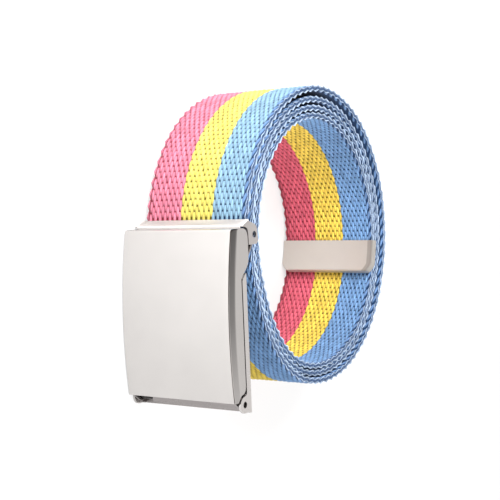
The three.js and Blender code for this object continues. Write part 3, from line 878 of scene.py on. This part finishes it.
class BELT_OT_jaw(bpy.types.Operator):
    """Bend the clamp's jaw, with its lip and ears"""

    bl_idname = "belt.jaw"
    bl_label = "Clamp Jaw"

    def execute(self, context):
        settings = context.scene.belt_metal
        tip, root, sheet = (-4.6, 2.7), (-2.9, -0.9), 0.6
        bm = bmesh.new()
        lip = [tip, root, (0.5, -0.9), (0.5, 2.3)]
        plate(bm, sheet_line(lip, sheet, 0.5), INSIDE, BUCKLE_WIDTH - INSIDE)
        plate(bm, sheet_line([tip, root], sheet), 0, BUCKLE_WIDTH)
        metal = metal_material(
            "Jaw plating", settings.satin_color, settings.jaw_roughness, 0.08, 0.4, metallic=0.25
        )
        buckle_piece(bm, "jaw_plate", metal, "belt", "clamp_jaw", 0.12)

        bm = bmesh.new()
        low = 2.15
        ear = [
            (-4.4, 2.3, 0.4), (*root, 0.3), (-2.7, -0.9), (-2.6, 0.6), (-2.0, 1.7), (-0.6, 2.1), (0.9, low),
            (3.0, low), (3.0, HEM_V + 2.2, 1.5), (-1.4, HEM_V + 1.8), (-2.5, HEM_V + 1.3),
            (-3.2, HEM_V + 0.4), (-3.5, HEM_V - 0.6),
        ]
        hole = [(0, HEM_V, CLAMP_BORE_RADIUS)]
        side_plates(bm, ear, 0, hole)
        metal = metal_material("Ear plating", settings.frame_color, settings.jaw_roughness, 0.08, 0.4)
        buckle_piece(bm, "jaw_ears", metal, "belt", "clamp_jaw", 0.14)
        return {"FINISHED"}


class BELT_OT_pins(bpy.types.Operator):
    """Turn the hinge pin and the clamp's two short pins"""

    bl_idname = "belt.pins"
    bl_label = "Pins"

    def execute(self, context):
        settings = context.scene.belt_metal
        # Near black pins: painted shade inside the holes they sit in
        metal = metal_material("Pin steel, painted shade", settings.pin_shade_color, 0.3, 0.06, 0.3)
        short = 3.5
        top = BUCKLE_WIDTH - 0.15
        clamp = (0, HEM_V, CLAMP_PIN_RADIUS)
        for name, node, (u, v, radius), low, high in (
            ("hinge_pin", "cover_pin", (PIN_U, PIN_V, PIN_RADIUS), 0.4, top - 0.25),
            ("jaw_pin_lower", "clamp_pin_lower", clamp, 0.5, 0.15 + short),
            ("jaw_pin_upper", "clamp_pin_upper", clamp, top - short, top - 0.4),
        ):
            bm = bmesh.new()
            place = Matrix.Translation((u, v, (low + high) / 2))
            bmesh.ops.create_cone(
                bm, cap_ends=True, segments=28, radius1=radius, radius2=radius, depth=high - low,
                matrix=place,
            )
            rims = [e for e in bm.edges if abs(e.verts[0].co.z - e.verts[1].co.z) < 1e-5]
            bevel(bm, rims, radius * 0.4, 4, "EDGES")
            buckle_piece(bm, name, metal, "belt", node)
        return {"FINISHED"}


class BELT_OT_stage(bpy.types.Operator):
    """Set the pale floor, the soft lights and the camera"""

    bl_idname = "belt.stage"
    bl_label = "Floor, Lights and Camera"

    def execute(self, context):
        settings = context.scene.belt_stage
        scene = context.scene
        bm = bmesh.new()
        bmesh.ops.create_circle(bm, cap_ends=True, segments=96, radius=settings.floor_radius)
        bmesh.ops.translate(bm, vec=(0, 0, -0.0001), verts=bm.verts)
        floor = bpy.data.objects.new("floor", finish_mesh(bm, "floor"))
        scene.collection.objects.link(floor)
        material, graph, shader = new_material("Pale floor")
        place = graph.add("TexCoord").outputs["Object"]
        tone = graph.add("ValToRGB", {"Fac": graph.noise(place, 9.0, 2.0)})
        for step, grey in zip(tone.color_ramp.elements, (0.33, 0.355)):
            step.color = (grey, grey, grey, 1)
        split = graph.add("SeparateXYZ", {"Vector": place})
        across = graph.math("MULTIPLY_ADD", split.outputs["Y"], 0.6, split.outputs["X"])
        glow = graph.map_range(across, 1.5 * settings.glow, 0.6 * settings.glow, -0.1, 0.01)
        seen = graph.add("LightPath").outputs["Is Camera Ray"]
        shown = graph.map_range(seen, 0.0, settings.clean)
        graph.put(shader, {
            "Base Color": tone.outputs["Color"], "Roughness": 0.9, "Specular IOR Level": 0.1,
            "Emission Color": (1, 1, 1, 1), "Emission Strength": graph.math("ADD", glow, shown),
        })
        floor.data.materials.append(material)

        world = bpy.data.worlds.new("Studio")
        scene.world = world
        world.use_nodes = True
        graph = Graph(world.node_tree)
        split = graph.add("SeparateXYZ", {"Vector": graph.add("TexCoord").outputs["Generated"]})
        lit = graph.math("MULTIPLY_ADD", split.outputs["Y"], 0.8, split.outputs["Z"])
        lit = graph.math("ADD", lit, split.outputs["X"])
        walls = graph.add("ValToRGB", {"Fac": graph.map_range(lit, 0.0, 1.0, 0.55, 1.0)})
        walls.color_ramp.elements[0].color = [settings.horizon * c for c in (1.1, 0.95, 0.9)] + [1]
        walls.color_ramp.elements[1].color = (1.0, 0.985, 0.975, 1)
        room = graph.add("Background", {"Color": walls.outputs["Color"], "Strength": settings.world})
        seen = graph.add("Background", {"Color": (0.95, 0.95, 0.95, 1)})
        mix = graph.add("MixShader", {
            "Fac": graph.add("LightPath").outputs["Is Camera Ray"],
            1: room.outputs["Background"], 2: seen.outputs["Background"],
        })
        graph.add("OutputWorld", {"Surface": mix.outputs["Shader"]})

        # The soft lights: name, place (m), side (m), power
        for name, place, size, power in (
            ("key light", (-0.36, -0.22, 0.36), 0.35, settings.key),
            ("front light", (-0.55, -0.68, 0.45), 0.5, settings.front),
            ("top light", (0.42, -0.35, 0.6), 0.7, settings.top),
        ):
            light = bpy.data.lights.new(name, "AREA")
            light.shape = "SQUARE"
            light.size = size
            light.energy = power
            lamp = bpy.data.objects.new(name, light)
            lamp.location = place
            lamp.rotation_euler = (Vector(LIGHT_AIM) - Vector(place)).to_track_quat("-Z", "Y").to_euler()
            lamp.visible_glossy = False
            scene.collection.objects.link(lamp)

        camera = bpy.data.objects.new("camera", bpy.data.cameras.new("camera"))
        camera.data.lens = CAMERA_LENS
        camera.data.sensor_width = 36
        camera.data.clip_start, camera.data.clip_end = 0.01, 20
        sine, cosine = math.sin(math.radians(CAMERA_PITCH)), math.cos(math.radians(CAMERA_PITCH))
        x, y, z = CAMERA_PLACE
        # The photo's right is up, so the camera is rolled a quarter turn
        camera.matrix_world = Matrix(
            ((0, -1, 0, x), (sine, 0, -cosine, y), (cosine, 0, sine, z), (0, 0, 0, 1))
        )
        scene.collection.objects.link(camera)
        scene.camera = camera
        scene.view_settings.view_transform = "Standard"
        scene.view_settings.look = "None"
        return {"FINISHED"}


def color_setting(name, description, default):
    return FloatVectorProperty(
        name=name, description=description, default=default, min=0, max=1, subtype="COLOR"
    )


def number_setting(name, description, default, low, high, kind="NONE"):
    return FloatProperty(
        name=name, description=description, default=default, min=low, max=high, subtype=kind
    )


def share_setting(name, description, default):
    return number_setting(name, description, default, 0, 1, "FACTOR")


def length_setting(name, description, default, low, high):
    return FloatProperty(
        name=name, description=description, default=default, min=low, max=high, precision=5,
        subtype="DISTANCE", unit="LENGTH",
    )


def power_setting(name, description, default):
    return FloatProperty(
        name=name, description=description, default=default, min=0, max=1000, unit="POWER"
    )


class StrapSettings(bpy.types.PropertyGroup):
    """Sizes and colours of the woven strap"""

    rose: color_setting("Rose", "Colour of the lower stripe", (0.87, 0.26, 0.37))
    yellow: color_setting("Yellow", "Colour of the middle stripe", (0.92, 0.78, 0.17))
    blue: color_setting("Blue", "Colour of the upper stripe", (0.275, 0.46, 0.62))
    # The back colours are painted shade: the stripes deepened for the inner face inside the coil, and for
    # the edges
    rose_back_shaded: color_setting(
        "Rose Back Shaded", "Colour of the lower stripe on the inner face", (0.77, 0.135, 0.20)
    )
    yellow_back_shaded: color_setting(
        "Yellow Back Shaded", "Colour of the middle stripe on the inner face", (0.93, 0.67, 0.105)
    )
    blue_back_shaded: color_setting(
        "Blue Back Shaded", "Colour of the upper stripe on the inner face", (0.19, 0.36, 0.64)
    )
    rose_end: share_setting("Rose Ends", "Share of the width where the rose stripe ends", 0.345)
    yellow_end: share_setting("Yellow Ends", "Share of the width where the yellow stripe ends", 0.67)
    columns: IntProperty(
        name="Columns", description="Yarn columns round the whole section", default=84, min=20, max=160
    )
    repeat: length_setting("Repeat", "Length of one repeat of the weave", 0.0039, 0.001, 0.02)
    fullness: number_setting(
        "Fullness", "Half a yarn's width as a share of the room it has", 0.68, 0.3, 1.2
    )
    yarn_height: length_setting("Yarn Height", "Half the height of a yarn", 0.00044, 0.0001, 0.01)
    overlap: number_setting("Overlap", "Length of a yarn's float as a share of the repeat", 1.0, 0.5, 1.5)
    lean: number_setting("Lean", "How far the yarns slant", -0.02, -0.6, 0.6, "ANGLE")


class MetalSettings(bpy.types.PropertyGroup):
    """Finish of the buckle and the tip"""

    color: color_setting("Plating", "Colour of the plated metal", (0.71, 0.683, 0.665))
    satin_color: color_setting("Satin Plating", "Colour of the clamp's jaw", (0.82, 0.78, 0.75))
    tip_color: color_setting("Tip Plating", "Colour of the tip", (0.64, 0.60, 0.555))
    frame_color: color_setting("Frame Plating", "Colour of the buckle's frame", (0.72, 0.69, 0.675))
    # Darker than the rest of the plating: painted shade under the cover
    shaded_base_color: color_setting(
        "Base Plating, Shaded", "Colour of the frame's base under the cover", (0.36, 0.335, 0.33)
    )
    # Near black: painted shade inside the pins' holes
    pin_shade_color: color_setting("Pins", "Colour of the pins", (0.05, 0.047, 0.045))
    cover_bend: length_setting(
        "Cover Bend", "Radius of the bend between the cover's face and its skirts", 0.0007, 0.0003, 0.004
    )
    # Painted shade: the dark reflection beside the cover's bend
    bend_shade: share_setting("Skirt Shade", "How dark the cover's skirts are beside the bend", 0.8)
    cover_roughness: share_setting("Cover Roughness", "How dull the cover's polish is", 0.2)
    frame_roughness: share_setting("Frame Roughness", "How dull the frame and jaw are", 0.24)
    jaw_roughness: share_setting("Jaw Roughness", "How dull the clamp's jaw is", 0.45)
    tip_roughness: share_setting("Tip Roughness", "How dull the tip is", 0.34)


class StageSettings(bpy.types.PropertyGroup):
    """Floor and lights"""

    floor_radius: length_setting("Floor Radius", "Radius of the floor", 3.0, 0.5, 20)
    glow: number_setting("Floor Glow", "Light of the table's own, as on a light table", 0.47, 0, 2)
    clean: number_setting("Clean White", "Extra floor brightness that only the camera sees", 0.27, 0, 2)
    world: number_setting("Surroundings", "Brightness of the room", 0.9, 0, 10)
    horizon: share_setting("Horizon", "Brightness of the room's walls, as a share of its ceiling's", 0.13)
    key: power_setting("Key Light", "Power of the main light", 5.0)
    front: power_setting("Front Light", "Power of the light by the camera", 2.4)
    top: power_setting("Top Light", "Power of the light over the coil", 7.6)


class BELT_PT_panel(bpy.types.Panel):
    """Settings and steps of the belt"""

    bl_idname = "BELT_PT_panel"
    bl_label = "Canvas Web Belt"
    bl_space_type = "VIEW_3D"
    bl_region_type = "UI"
    bl_category = "Belt"

    def draw(self, context):
        for title, settings in (
            ("Strap", context.scene.belt_strap),
            ("Metal", context.scene.belt_metal),
            ("Stage", context.scene.belt_stage),
        ):
            box = self.layout.box()
            box.label(text=title)
            for name in settings.bl_rna.properties.keys():
                if name not in {"rna_type", "name"}:
                    box.prop(settings, name)
        steps = self.layout.column(align=True)
        for step in STEPS:
            steps.operator(step.bl_idname)


STEPS = (
    BELT_OT_stage, BELT_OT_strap, BELT_OT_tip, BELT_OT_frame, BELT_OT_jaw, BELT_OT_pins, BELT_OT_cover,
)
CLASSES = (StrapSettings, MetalSettings, StageSettings, *STEPS, BELT_PT_panel)


def register():
    for cls in CLASSES:
        bpy.utils.register_class(cls)
    bpy.types.Scene.belt_strap = PointerProperty(type=StrapSettings)
    bpy.types.Scene.belt_metal = PointerProperty(type=MetalSettings)
    bpy.types.Scene.belt_stage = PointerProperty(type=StageSettings)


def unregister():
    del bpy.types.Scene.belt_stage
    del bpy.types.Scene.belt_metal
    del bpy.types.Scene.belt_strap
    for cls in reversed(CLASSES):
        bpy.utils.unregister_class(cls)


def main():
    register()
    bpy.ops.belt.stage()
    bpy.ops.belt.strap()
    bpy.ops.belt.tip()
    bpy.ops.belt.frame()
    bpy.ops.belt.jaw()
    bpy.ops.belt.pins()
    bpy.ops.belt.cover()


if __name__ == "__main__":
    main()
